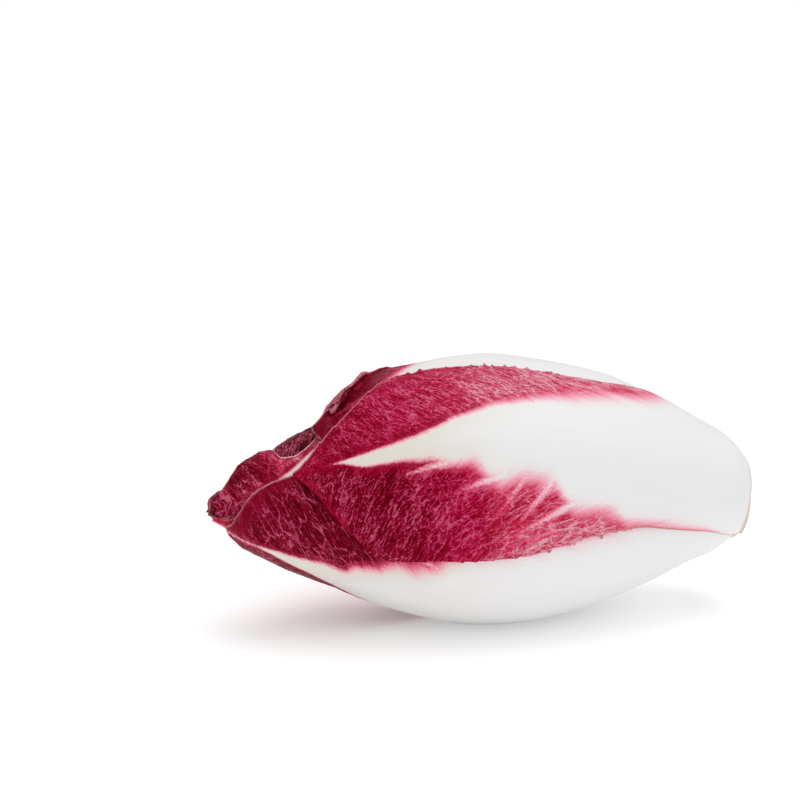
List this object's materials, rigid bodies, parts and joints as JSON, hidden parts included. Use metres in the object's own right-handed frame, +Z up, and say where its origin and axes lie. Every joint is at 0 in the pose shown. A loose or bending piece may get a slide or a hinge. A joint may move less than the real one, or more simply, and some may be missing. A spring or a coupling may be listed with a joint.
{
  "type": "red chicory head",
  "caption": "Head of red chicory lying on its side: broad crimson leaves with white midribs wrapped one over another round a cut stem.",
  "frame": {"origin": "middle of the head's box, on the surface that it lies on", "axes": "+X along the head towards its cut base, -X towards the leaf tips, +Z up from the surface"},
  "size_m": [0.1269, 0.0616, 0.0604],
  "materials": {
    "outer_leaf": "satin leaf, crimson blade round a white midrib",
    "middle_leaf": "satin leaf, dark crimson blade round a white midrib",
    "inner_leaf": "satin leaf, pink to cream",
    "stem": "matt cut face, cream, browning at the rim"
  },
  "bodies": {
    "root": {"outer_leaf_1": "outer_leaf", "outer_leaf_2": "outer_leaf", "outer_leaf_3": "outer_leaf", "outer_leaf_4": "outer_leaf", "outer_leaf_5": "outer_leaf", "middle_leaf_1": "middle_leaf", "middle_leaf_2": "middle_leaf", "middle_leaf_3": "middle_leaf", "middle_leaf_4": "middle_leaf", "middle_leaf_5": "middle_leaf", "inner_leaf_1": "inner_leaf", "inner_leaf_2": "inner_leaf", "inner_leaf_3": "inner_leaf", "inner_leaf_4": "inner_leaf", "heart_leaf_1": "inner_leaf", "heart_leaf_2": "inner_leaf", "heart_leaf_3": "inner_leaf", "stem": "stem"}
  },
  "joints": []
}
